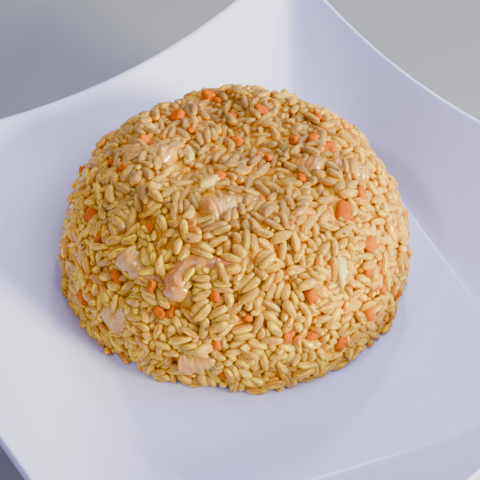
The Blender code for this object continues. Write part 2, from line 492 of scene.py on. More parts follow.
def repeat_faces(pattern: Sequence[tuple[int, ...]], count: int, copies: int) -> list[tuple[int, ...]]:
    """Faces of shapes that follow one another in a mesh.

    Args:
        pattern: The faces of one shape.
        count: How many points each shape has.
        copies: How many shapes there are.

    Returns:
        The faces of all of them.
    """
    return [tuple(corner + index * count for corner in face)
            for index in range(copies) for face in pattern]


def settle(piece: bpy.types.Object, slot: Slot, *stands_for: str) -> None:
    """Ride a piece on the one body and hide the solids that it stands for.

    Args:
        piece: The piece.
        slot: Not used.
        stands_for: The solids that it replaces.
    """
    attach(piece, BODY)
    if stands_for:
        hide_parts(*stands_for)
    LOG.info("%s: %d faces", piece.name, len(piece.data.polygons))


# ---------------------------------------------------------------- the plate


@dataclass
class Plate:
    """A square plate with concave sides, upswept corners and a well turned against its sides."""

    half: float = 119.6 * MM
    bow: float = 13.4 * MM
    bow_power: float = 2.17
    corner_power: float = 16
    floor: float = 8 * MM
    wall: float = 4.8 * MM
    rise_side: float = 33.5 * MM
    rise_corner: float = 49.9 * MM
    rise_power: float = 8
    fold: float = 0.12
    well_centre: Vector = field(default_factory=lambda: Vector((9.3 * MM, -3.9 * MM, 0)))
    well_half: tuple = (62.2 * MM, 73.2 * MM)
    well_turn: float = math.radians(-21.8)
    well_power: float = 4.5
    foot: tuple = (0.92, 0.82)
    rays_per_side: int = 64
    rim_rows: int = 40

    def off_normal(self, bearing: float) -> float:
        """Angle between a ray and the normal of the side that it crosses, at most 45 degrees."""
        quarter = math.pi / 2
        return abs((bearing + quarter / 2) % quarter - quarter / 2)

    def side_reach(self, angle: float) -> float:
        """Distance from the centre to a side along a ray `angle` off the side's normal."""
        slope = abs(math.tan(angle))
        across = self.half * slope
        for _ in range(12):
            out = self.half - self.bow * (1 - (across / self.half) ** self.bow_power)
            across = out * slope
        return math.hypot(out, across)

    def lip(self, bearing: float) -> Vector:
        """Point of the outline in plan, on a ray from the plate's centre."""
        near = self.side_reach(self.off_normal(bearing))
        beyond = math.pi / 2 - self.off_normal(bearing)
        reach = near
        if beyond < math.radians(62):
            far = self.side_reach(beyond)
            reach = (near ** -self.corner_power + far ** -self.corner_power) ** (-1 / self.corner_power)
        return Vector((math.cos(bearing), math.sin(bearing), 0)) * reach

    def rise(self, bearing: float) -> float:
        """Height of the lip above the floor."""
        along = max(math.tan(self.off_normal(bearing)), 0.01)
        to_corner = (along ** -self.rise_power + along ** self.rise_power) ** (-1 / self.rise_power)
        return self.rise_side + (self.rise_corner - self.rise_side) * to_corner ** 2

    def well(self, bearing: float) -> Vector:
        """Point of the well's edge in plan, on a ray from the well's centre."""
        turned = bearing - self.well_turn
        across = abs(math.cos(turned)) / self.well_half[0]
        along = abs(math.sin(turned)) / self.well_half[1]
        reach = (across ** self.well_power + along ** self.well_power) ** (-1 / self.well_power)
        return self.well_centre + Vector((math.cos(bearing), math.sin(bearing), 0)) * reach

    def climb(self, share: float) -> float:
        """Share of the rise at a share of the rim's width."""
        return (math.hypot(share, self.fold) - self.fold) / (math.hypot(1, self.fold) - self.fold)

    def rays(self) -> list[float]:
        """Bearings around the plate, closer together towards its corners."""
        bearings = []
        for side in range(4):
            for step in range(self.rays_per_side):
                along = 2 * step / self.rays_per_side - 1
                crowded = 0.5 * along + 0.5 * math.sin(math.pi / 2 * along)
                bearings.append(side * math.pi / 2 + math.pi / 4 * crowded)
        return bearings

    def floor_ring(self, share: float, height: float) -> list[Vector]:
        """Ring at a share of the well's outline."""
        lift = Vector((0, 0, height))
        return [self.well_centre.lerp(self.well(ray), share) + lift for ray in self.rays()]

    def rim_ring(self, share: float, depth: float) -> list[Vector]:
        """Ring at a share of the rim's width, `depth` below its upper face."""
        ring = []
        for ray in self.rays():
            inner, outer = self.well(ray), self.lip(ray)
            slope = self.rise(ray) / (outer - inner).length * share / math.hypot(share, self.fold)
            point = inner.lerp(outer, share)
            point.z = self.floor + self.rise(ray) * self.climb(share) - depth * math.hypot(1, slope)
            ring.append(point)
        return ring

    def rings(self) -> list[list[Vector]]:
        """Rings from the middle of the floor over the lip to the middle of the underside."""
        under = self.floor - self.wall
        outer, inner = self.foot
        rings = [self.floor_ring(share, self.floor) for share in (0.35, 0.7, 0.9)]
        rings += [self.rim_ring((row / self.rim_rows) ** 1.3 * 0.985, 0) for row in range(self.rim_rows + 1)]
        for step in range(7):
            turn = math.pi * step / 6
            share = 0.987 + 0.013 * math.sin(turn)
            rings.append(self.rim_ring(share, self.wall * (0.03 + 0.47 * (1 - math.cos(turn)))))
        rings += [self.rim_ring(share, self.wall) for share in (0.95, 0.8, 0.6, 0.42, 0.28, 0.16, 0.06, 0.0)]
        for share, height in ((outer + 0.03, under), (outer + 0.01, under * 0.6), (outer, 0.1 * under),
                              (outer - 0.01, 0), (inner + 0.01, 0), (inner, 0.1 * under),
                              (inner - 0.01, under * 0.6), (inner - 0.03, under), (0.4, under)):
            rings.append(self.floor_ring(share, height))
        return rings

    def build(self) -> bpy.types.Object:
        """Make the plate."""
        rings = self.rings()
        top = self.well_centre + Vector((0, 0, self.floor))
        bottom = self.well_centre + Vector((0, 0, self.floor - self.wall))
        points = [top] + [point for ring in rings for point in ring] + [bottom]
        faces = loft_faces(len(rings), len(rings[0]))
        piece = mesh_object("square_plate", np.array(points), faces, {}, Glaze().material())
        settle(piece, Slot.GLAZE, "plate")
        return piece


# ---------------------------------------------------------------- the heap's form


@dataclass
class HeapForm:
    """The heap's surface: a bowl's form, flat and a little dished on top, with clumps of rice."""

    axis: Vector
    radius: float
    floor: float
    crown: float = 60.2 * MM
    flank_power: float = 1.954
    crown_power: float = 2.443
    top_level: float = 51.3 * MM
    top_radius: float = 34.5 * MM
    top_dish: float = 1.5 * MM
    shoulder: float = 1.3 * MM
    lump_height: float = 2.6 * MM
    lump_size: float = 10.5 * MM

    @classmethod
    def around(cls, node: str, floor: float) -> "HeapForm":
        """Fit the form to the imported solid.

        Args:
            node: The solid's name.
            floor: Height of the plate's floor.

        Returns:
            The form.
        """
        low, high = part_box(node)
        axis = (low + high) / 2
        axis.z = 0
        radius = (high.x - low.x + high.y - low.y) / 4 - 0.3 * MM
        return cls(axis, radius, floor)

    def smooth(self, bearing: float, rise: float) -> Vector:
        """Point on the form before its clumps."""
        radius = self.radius * max(math.cos(rise), 0) ** (2 / self.flank_power)
        flank = self.crown * max(math.sin(rise), 0) ** (2 / self.crown_power)
        dished = self.top_level - self.top_dish * (1 - (radius / self.top_radius) ** 2)
        low = math.exp(-flank / self.shoulder) + math.exp(-dished / self.shoulder)
        height = self.floor - self.shoulder * math.log(low)
        return self.axis + Vector((math.cos(bearing) * radius, math.sin(bearing) * radius, height))

    def place(self, bearing: float, rise: float) -> Matrix:
        """Frame on the surface: X level, Y up the flank and Z straight out."""
        step = 0.01
        upper = self.smooth(bearing, min(rise + step, math.pi / 2))
        lower = self.smooth(bearing, max(rise - step, 0.0))
        level = Vector((-math.sin(bearing), math.cos(bearing), 0))
        upward = (upper - lower).normalized()
        turned = Matrix((level, upward, level.cross(upward))).transposed().to_4x4()
        return Matrix.Translation(self.smooth(bearing, rise)) @ turned

    def lumpy(self, bearing: float, rise: float) -> Matrix:
        """Frame on the surface with its clumps."""
        frame_here = self.place(bearing, rise)
        point = frame_here.translation
        out = frame_here.col[2].to_3d()
        frame_here.translation = point + out * self.lump_height * noise.noise(point / self.lump_size)
        return frame_here

    def profile(self, count: int = 240) -> tuple[np.ndarray, np.ndarray]:
        """Points of the smooth form's outline and the directions straight out of it, in (away, up)."""
        spots = [self.smooth(0, math.pi / 2 * (step / count) ** 1.2) - self.axis for step in range(count + 1)]
        line = np.array([(spot.x, spot.z) for spot in spots])
        along = np.gradient(line, axis=0)
        out = np.stack((along[:, 1], -along[:, 0]), axis=1)
        return line, out / np.linalg.norm(out, axis=1)[:, None]

    def rise_at(self, away: float) -> float:
        """Rise of the form's points at a distance from its axis."""
        return math.acos(min(away / self.radius, 1) ** (self.flank_power / 2))

    def rises_by_area(self, count: int) -> np.ndarray:
        """Rises that share the surface out evenly by area."""
        steps = np.linspace(0, math.pi / 2, 200)
        places = [self.smooth(0, rise) - self.axis for rise in steps]
        across = np.array([p.x for p in places])
        height = np.array([p.z for p in places])
        strip = np.hypot(np.diff(across), np.diff(height)) * (across[1:] + across[:-1]) / 2
        total = np.concatenate(([0], np.cumsum(strip)))
        return np.interp(np.linspace(0, 1, count), total / total[-1], steps)


# ---------------------------------------------------------------- laying things in the heap


@dataclass
class Bit:
    """A small long thing lying in the heap: a round-ended rod that others keep clear of."""

    centre: Vector
    along: Vector
    half: float
    radius: float


class Packing:
    """Bits laid side by side, none passing far through another."""

    SAMPLES = np.linspace(-1.0, 1.0, 5)

    def __init__(self, cell: float = 9 * MM) -> None:
        """Start an empty packing.

        Args:
            cell: Width of the cells that bits are sorted into, more than the longest bit's reach.
        """
        self.cell = cell
        self.cells: dict[tuple[int, int, int], list[int]] = {}
        self.table = np.zeros((8000, 8))
        self.count = 0

    def key(self, point: Sequence[float]) -> tuple[int, int, int]:
        """Cell that a point is in."""
        return tuple(int(math.floor(value / self.cell)) for value in point)

    def add(self, bit: Bit) -> None:
        """Lay a bit."""
        self.cells.setdefault(self.key(bit.centre), []).append(self.count)
        self.table[self.count] = (*bit.centre, *bit.along, bit.half, bit.radius)
        self.count += 1

    def near(self, point: Sequence[float], reach: float) -> np.ndarray:
        """Rows of the bits whose own reach comes within `reach` of a point."""
        middle = self.key(point)
        found: list[int] = []
        for dx in (-1, 0, 1):
            for dy in (-1, 0, 1):
                for dz in (-1, 0, 1):
                    found += self.cells.get((middle[0] + dx, middle[1] + dy, middle[2] + dz), [])
        rows = self.table[found]
        apart = np.linalg.norm(rows[:, :3] - np.asarray(point), axis=1)
        return rows[apart < reach + rows[:, 6] + rows[:, 7]]

    def clearance(self, centres: np.ndarray, alongs: np.ndarray, half: float, radius: float) -> np.ndarray:
        """How close each of several ways to lay one rod comes to the bits already laid.

        Args:
            centres: The rod's middle in each way, one row each.
            alongs: Its direction in each way, one row each.
            half: Half the length of its axis.
            radius: Its radius.

        Returns:
            The least distance between axes in each way, as a share of the two radii together.
        """
        middle = centres.mean(axis=0)
        spread = float(np.abs(centres - middle).max())
        others = self.near(middle, spread + half + radius)
        if not len(others):
            return np.full(len(centres), 9.0)
        spots = centres[:, None, :] + self.SAMPLES[None, :, None] * half * alongs[:, None, :]
        apart = spots[:, :, None, :] - others[None, None, :, :3]
        axes = others[None, None, :, 3:6]
        shift = np.clip((apart * axes).sum(3), -others[:, 6], others[:, 6])
        gap = np.linalg.norm(apart - shift[..., None] * axes, axis=3)
        return (gap / (others[:, 7] + radius)).min(axis=(1, 2))


@dataclass
class Bed:
    """The plate's upper face, which nothing in the heap passes through."""

    tree: BVHTree

    @classmethod
    def of(cls, plate: bpy.types.Object) -> "Bed":
        """Take the face of a plate."""
        return cls(BVHTree.FromObject(plate, bpy.context.evaluated_depsgraph_get()))

    def height(self, point: Vector) -> float:
        """Height of the plate under a point."""
        hit = self.tree.ray_cast(Vector((point.x, point.y, 1.0)), Vector((0, 0, -1)))
        return hit[0].z if hit[0] else -1.0

    def holds(self, bit: Bit) -> bool:
        """Whether a bit lies above the plate, or at most just touches it."""
        for share in (-1, 0, 1):
            spot = bit.centre + bit.along * (bit.half * share)
            if spot.z - 0.85 * bit.radius < self.height(spot):
                return False
        return True

    def heights(self, middle: Vector, reach: float) -> Callable[[np.ndarray], np.ndarray]:
        """Heights of the plate under many points at once, from a grid.

        Args:
            middle: Middle of the grid.
            reach: How far it reaches.

        Returns:
            A function from points to the plate's heights under them.
        """
        step = 1 * MM
        count = int(2 * reach / step) + 1
        corner = np.array([middle.x - reach, middle.y - reach])
        grid = np.array([[self.height(Vector((corner[0] + i * step, corner[1] + j * step, 0)))
                          for j in range(count)] for i in range(count)])

        def under(points: np.ndarray) -> np.ndarray:
            cell = np.clip(np.rint((points[:, :2] - corner) / step).astype(int), 0, count - 1)
            return grid[cell[:, 0], cell[:, 1]]

        return under


@dataclass
class Crowd:
    """Rods pressed into the heap's outer rice, pushed apart until they lie side by side."""

    form: HeapForm
    bed: Bed
    packing: Packing
    thick: float
    count: int
    length: tuple
    width: tuple
    seed: int = 3
    rounds: int = 130
    closest: float = 0.82
    thrown_deep: tuple = (0.25, 0.8)
    thrown_lean: float = 0.4
    uneven_mm: tuple = (-0.3, 0.7)
    refresh: int = 8
    first_close: float = 0.45
    growing: float = 0.6
    speed: float = 0.45
    margin: float = 0.8 * MM
    skin_gap: float = 0.92
    skin_push: float = 0.8
    bed_gap: float = 0.9

    def start(self) -> None:
        """Throw the rods in at random."""
        dice = np.random.default_rng(self.seed)
        spread = self.form.rises_by_area(4000)
        self.long = np.clip(dice.normal(*self.length, self.count), *GRAIN_LENGTHS)
        self.wide = np.clip(dice.normal(*self.width, self.count), *GRAIN_WIDTHS)
        spots, ways, bumps = [], [], []
        for rise, bearing, deep, turn, lean in zip(
                spread[dice.integers(0, len(spread), self.count)], dice.uniform(0, 2 * math.pi, self.count),
                dice.uniform(*self.thrown_deep, self.count) * self.thick,
                dice.uniform(0, 2 * math.pi, self.count), dice.normal(0, self.thrown_lean, self.count)):
            place = self.form.place(bearing, rise)
            bumps.append(self.form.lump_height * noise.noise(place.translation / self.form.lump_size))
            way = Matrix.Rotation(turn, 4, "Z") @ Matrix.Rotation(lean, 4, "Y")
            ways.append((place @ way).col[0].to_3d())
            spots.append(place.translation + place.col[2].to_3d() * (bumps[-1] - deep))
        fixed = self.packing.table[:self.packing.count]
        self.points = np.concatenate((np.array(spots), fixed[:, :3]))
        self.axes = np.concatenate((np.array(ways), fixed[:, 3:6]))
        self.halves = np.concatenate(((self.long - self.wide) / 2, fixed[:, 6]))
        self.radii = np.concatenate((self.wide / 2, fixed[:, 7]))
        self.bumps = np.array(bumps) + dice.uniform(*self.uneven_mm, self.count) * MM
        self.line, self.out = self.form.profile()
        self.under = self.bed.heights(self.form.axis, self.form.radius + 6 * MM)

    def pairs(self) -> tuple[np.ndarray, np.ndarray]:
        """Rods near enough to touch, the first of each pair one that moves."""
        tree = KDTree(len(self.points))
        for index, point in enumerate(self.points):
            tree.insert(point, index)
        tree.balance()
        reach = self.halves + self.radii
        first, second = [], []
        for index, point in enumerate(self.points):
            for _, other, apart in tree.find_range(point, reach[index] + 5.8 * MM):
                moves = index < other if other < self.count else index < self.count
                if index < self.count and (moves or other >= self.count) and other != index:
                    if apart < reach[index] + reach[other] + self.margin:
                        first.append(index)
                        second.append(other)
        return np.array(first), np.array(second)

    def push(self, which: np.ndarray, levers: np.ndarray, shove: np.ndarray, moved: np.ndarray,
             turned: np.ndarray) -> None:
        """Add shoves on rods to what moves and turns them.

        Args:
            which: The rods' numbers.
            levers: Where each shove acts along the rod.
            shove: The shoves.
            moved: Sums of the rods' moves.
            turned: Sums of the changes of their axes.
        """
        stiff = (self.halves[which] + self.radii[which]) ** 2 / 3
        share = 1 / (1 + levers ** 2 / stiff)
        for axis in range(3):
            moved[:, axis] += np.bincount(which, shove[:, axis] * share, len(moved))
            turned[:, axis] += np.bincount(which, shove[:, axis] * share * levers / stiff, len(turned))

    def step(self, first: np.ndarray, second: np.ndarray, closeness: float) -> None:
        """Push the rods apart once, and back between the heap's surface, its core and the plate.

        Args:
            first: The first rod of each pair, one that moves.
            second: The second rod of each pair.
            closeness: How far apart two rods' axes have to be, as a share of their radii together.
        """
        one, two = self.axes[first], self.axes[second]
        apart = self.points[first] - self.points[second]
        angle = (one * two).sum(1)
        lean_one, lean_two = (one * apart).sum(1), (two * apart).sum(1)
        skew = np.maximum(1 - angle ** 2, 1e-3)
        reach_one, reach_two = self.halves[first], self.halves[second]
        along_one = np.clip((angle * lean_two - lean_one) / skew, -reach_one, reach_one)
        along_two = np.clip(angle * along_one + lean_two, -reach_two, reach_two)
        along_one = np.clip(angle * along_two - lean_one, -reach_one, reach_one)
        gap = apart + one * along_one[:, None] - two * along_two[:, None]
        size = np.maximum(np.linalg.norm(gap, axis=1), 1e-6)
        short = closeness * (self.radii[first] + self.radii[second]) - size
        moved, turned = np.zeros_like(self.points), np.zeros_like(self.points)
        fixed = second >= self.count
        shove = gap / size[:, None] * (np.maximum(short, 0) * np.where(fixed, 1.0, 0.5))[:, None]
        self.push(first, along_one, shove, moved, turned)
        self.push(second, along_two, -shove, moved, turned)
        rods = np.arange(self.count)
        for end in (-1, 1):
            lever = self.halves[:self.count] * end
            tips = self.points[:self.count] + self.axes[:self.count] * lever[:, None]
            deep, out = self.depths(tips)
            deep = deep + self.bumps
            radius = self.radii[:self.count]
            proud = np.maximum(radius * self.skin_gap - deep, 0)
            inward = proud - np.maximum(deep + radius * self.skin_gap - self.thick, 0)
            self.push(rods, lever, -out * (self.skin_push * inward)[:, None], moved, turned)
            sunk = np.maximum(self.under(tips) + radius * self.bed_gap - tips[:, 2], 0)
            self.push(rods, lever, np.stack((sunk * 0, sunk * 0, sunk), axis=1), moved, turned)
        moved[self.count:] = 0
        turned[self.count:] = 0
        self.points += moved * self.speed
        self.axes += turned * self.speed
        self.axes /= np.linalg.norm(self.axes, axis=1)[:, None]

    def depths(self, points: np.ndarray) -> tuple[np.ndarray, np.ndarray]:
        """How deep points lie under the smooth form, and the directions straight out of it."""
        side = points[:, :2] - np.array(self.form.axis)[:2]
        away = np.maximum(np.linalg.norm(side, axis=1), 1e-6)
        flat = np.stack((away, points[:, 2]), axis=1)
        nearest = ((flat[:, None, :] - self.line[None, :, :]) ** 2).sum(2).argmin(1)
        out = self.out[nearest]
        deep = ((self.line[nearest] - flat) * out).sum(1)
        level = side / away[:, None] * out[:, :1]
        return deep, np.concatenate((level, out[:, 1:]), axis=1)

    def settle(self) -> None:
        """Throw the rods in and push them apart, thickening them little by little."""
        self.start()
        for turn in range(self.rounds):
            if turn % self.refresh == 0:
                first, second = self.pairs()
            done = min(turn / (self.growing * self.rounds), 1)
            self.step(first, second, self.first_close + (self.closest - self.first_close) * done)


# ---------------------------------------------------------------- prawns


@dataclass(frozen=True)
class PrawnPlace:
    """Where a prawn lies on the heap and how it is bent."""

    node: str
    bearing: float
    rise: float
    heading: float
    length: float
    girth: float
    curl: float
    depth: float
    finish: bpy.types.Material
    bend: tuple = (0.0, 1.0)


@dataclass
class PrawnBody:
    """A prawn's tail meat: a bent body of overlapping segments, thick at its cut end."""

    spot: PrawnPlace
    form: HeapForm
    rows: int = 72
    sides: int = 30
    flatness: float = 0.85
    segments: int = 6
    head_round: float = 0.16
    axis_steps: int = 40
    tail_girth: float = 0.45
    ridge: float = 0.05
    groove_depth: float = 0.06
    groove_width: float = 0.10
    wave: float = 0.13
    ripple: float = 0.06
    bared: float = 0.66

    def girth(self, share: float) -> float:
        """Girth at a share of the length, without the segments."""
        start = min(share / self.head_round, 1)
        end = min((1 - share) / self.head_round, 1)
        rounded = math.sqrt(max(1 - (1 - start) ** 2, 0)) * math.sqrt(max(1 - (1 - end) ** 2, 0))
        return rounded * (1 - (1 - self.tail_girth) * share ** 1.5)

    def way(self, share: float) -> Vector:
        """Direction of the body's middle line at a share of its length, flat on the heap."""
        begins, ends = self.spot.bend
        turned = held((share - begins) / (ends - begins))
        angle = math.radians(self.spot.heading + self.spot.curl * (turned - 0.5))
        return Vector((math.cos(angle), math.sin(angle), 0))

    def axis(self, share: float) -> tuple[Vector, Vector]:
        """Point and direction of the body's middle line, flat on the heap."""
        point = Vector((0, 0, 0))
        for step in range(self.axis_steps):
            passed = share * (step + 0.5) / self.axis_steps
            point += self.way(passed) * (self.spot.length * share / self.axis_steps)
        return point, self.way(share)

    def segment(self, share: float) -> tuple[float, float]:
        """Relief and groove of the overlapping segments.

        Args:
            share: How far along the body.

        Returns:
            How far the skin stands out as a share of the girth, and how deep in a groove it is.
        """
        phase = (share * self.segments) % 1.0
        groove = math.exp(-(min(phase, 1 - phase) / self.groove_width) ** 2) if share > 0.05 else 0.0
        return self.ridge * math.sin(math.pi * phase) ** 0.7 - self.groove_depth * groove, groove

    def place(self) -> Matrix:
        """The body's frame: flat on the heap, sunk into it."""
        spot = self.spot
        lying = self.form.lumpy(math.radians(spot.bearing), math.radians(spot.rise))
        return lying @ Matrix.Translation(Vector((0, 0, -spot.depth * spot.girth)) - self.axis(0.5)[0])

    def bits(self) -> list[Bit]:
        """Rods along the body, that the grains keep clear of."""
        place, count = self.place(), 8
        rods = []
        for step in range(count):
            share = (step + 0.5) / count
            centre, forward = self.axis(share)
            radius = self.spot.girth / 2 * self.girth(share) * self.bared
            rods.append(Bit(place @ centre, place.to_3x3() @ forward, self.spot.length / count / 2, radius))
        return rods

    def build(self) -> bpy.types.Object:
        """Make the prawn."""
        place = self.place()
        outer = math.pi if self.spot.curl < 0 else 0.0
        seed = Vector((self.spot.bearing, self.spot.rise, 0)) * 0.37
        points, marks = [], {"along": [], "back": [], "ring": []}

        def add(point: Vector, share: float, back: float, ring: float) -> None:
            points.append(place @ point)
            for label, value in (("along", share), ("back", back), ("ring", ring)):
                marks[label].append(value)

        add(self.axis(0)[0], 0, 0, 0)
        for row in range(self.rows):
            share = 0.5 - 0.5 * math.cos(math.pi * (row + 0.6) / (self.rows + 0.2))
            centre, forward = self.axis(share)
            sideways = forward.cross(Vector((0, 0, 1)))
            stands, groove = self.segment(share)
            for side in range(self.sides):
                angle = 2 * math.pi * side / self.sides
                back = 0.5 + 0.5 * math.cos(angle - outer)
                offset = sideways * math.cos(angle) + Vector((0, 0, self.flatness * math.sin(angle)))
                spot = seed + offset * 1.3 + Vector((share * 7, 0, 0))
                wave = self.wave * noise.noise(spot) + self.ripple * noise.noise(spot * 3.1)
                reach = 1 + stands * (0.35 + 0.65 * back) + wave
                radius = self.spot.girth / 2 * self.girth(share) * reach
                add(centre + offset * radius, share, back, groove)
        add(self.axis(1)[0], 1, 0, 0)
        faces = loft_faces(self.rows, self.sides)
        values = {label: np.array(found) for label, found in marks.items()}
        name = self.spot.node + "_meat"
        piece = mesh_object(name, np.array(points), faces, values, self.spot.finish)
        settle(piece, Slot.PRAWN, self.spot.node)
        return piece


# ---------------------------------------------------------------- small toppings


@dataclass
class Morsel:
    """A small lump of food: a rounded block with an uneven skin."""

    place: Matrix
    size: tuple
    square: float
    uneven: float
    tone: float

    ROWS = 11
    SIDES = 16

    def bit(self) -> Bit:
        """The rod that other things keep clear of."""
        radius = (self.size[1] + self.size[2]) / 4
        half = max(self.size[0] / 2 - radius, 0.0)
        return Bit(self.place.translation.copy(), self.place.col[0].to_3d(), half, radius * 0.95)

    def points(self) -> list[Vector]:
        """Its points: a pole, rings and a pole."""
        seed = self.place.translation * 900
        found = []
        rings = [math.pi * (row + 1) / (self.ROWS + 1) for row in range(self.ROWS)]
        turns = [0.0] + [turn for turn in rings for _ in range(self.SIDES)] + [math.pi]
        for index, turn in enumerate(turns):
            around = -2 * math.pi * ((index - 1) % self.SIDES) / self.SIDES
            level = math.sin(turn)
            way = Vector((-math.cos(turn), level * math.cos(around), level * math.sin(around)))
            blocky = sum(abs(value) ** self.square for value in way) ** (-1 / self.square)
            reach = blocky * (1 + self.uneven * noise.noise(seed + way * 1.6)
                              + 0.4 * self.uneven * noise.noise(seed + way * 4.1))
            found.append(self.place @ Vector([way[i] * reach * self.size[i] / 2 for i in range(3)]))
        return found


def join_morsels(name: str, morsels: Sequence[Morsel], finish: bpy.types.Material) -> bpy.types.Object:
    """Join morsels into one piece.

    Args:
        name: The piece's name.
        morsels: The morsels.
        finish: Their material.

    Returns:
        The piece.
    """
    count = Morsel.ROWS * Morsel.SIDES + 2
    points = [point for morsel in morsels for point in morsel.points()]
    faces = repeat_faces(loft_faces(Morsel.ROWS, Morsel.SIDES), count, len(morsels))
    marks = {"tone": np.repeat([morsel.tone for morsel in morsels], count)}
    return mesh_object(name, np.array(points), faces, marks, finish)


@dataclass
class Scatter:
    """Small toppings of one kind, joined into one piece."""

    name: str
    finish: bpy.types.Material
    form: HeapForm
    bed: Bed
    packing: Packing
    chance: random.Random
    square: float = 4.0
    uneven: float = 0.12
    morsels: list[Morsel] = field(default_factory=list)

    def lay(self, bearing: float, rise: float, size: tuple, sunk: float, tilt: float = 0.5,
            turn: float | None = None, tone: float | None = None) -> bool:
        """Try to lay one.

        Args:
            bearing: Its bearing in degrees.
            rise: Its rise in radians.
            size: Its length, width and thickness.
            sunk: How far its middle lies below the surface.
            tilt: How far it leans at most, in radians.
            turn: Its turn in degrees, or none for any.
            tone: Its tone, or none for any.

        Returns:
            True if it fitted.
        """
        chance = self.chance
        turned = math.radians(turn) if turn is not None else chance.uniform(0, 2 * math.pi)
        place = self.form.lumpy(math.radians(bearing), rise) @ Matrix.Translation((0, 0, -sunk))
        place = place @ Matrix.Rotation(turned, 4, "Z") @ Matrix.Rotation(chance.uniform(-tilt, tilt), 4, "Y")
        place = place @ Matrix.Rotation(chance.uniform(-tilt, tilt), 4, "X")
        shade = tone if tone is not None else chance.random()
        morsel = Morsel(place, size, self.square, self.uneven, shade)
        bit = morsel.bit()
        gap = self.packing.clearance(np.array([bit.centre]), np.array([bit.along]), bit.half, bit.radius)
        if gap[0] < 0.8 or not self.bed.holds(bit):
            return False
        self.packing.add(bit)
        self.morsels.append(morsel)
        return True

    def sow(self, count: int, low: float, high: float, sunk: tuple, long: float = 1.3) -> None:
        """Lay some anywhere on the heap.

        Args:
            count: How many.
            low: Least size.
            high: Greatest size.
            sunk: Least and greatest share of its size that its middle lies below the surface.
            long: Greatest length as a share of its width.
        """
        rises = self.form.rises_by_area(2000)
        laid = 0
        for _ in range(count * 20):
            if laid == count:
                break
            size = self.chance.triangular(low, high, low * 0.6 + high * 0.4)
            shape = (size * self.chance.uniform(1, long), size, size * self.chance.uniform(0.7, 1))
            deep = size * self.chance.uniform(*sunk)
            rise = rises[self.chance.randrange(len(rises))]
            laid += self.lay(self.chance.uniform(0, 360), rise, shape, deep)

    def build(self, slot: Slot) -> bpy.types.Object:
        """Make the piece."""
        piece = join_morsels(self.name, self.morsels, self.finish)
        settle(piece, slot)
        return piece


# ---------------------------------------------------------------- rice


@dataclass
class Grain:
    """One cooked grain: where it lies, its size and its look."""

    place: Matrix
    surface: Vector
    out: Vector
    length: float
    width: float
    bend: float
    taper: float
    tone: float


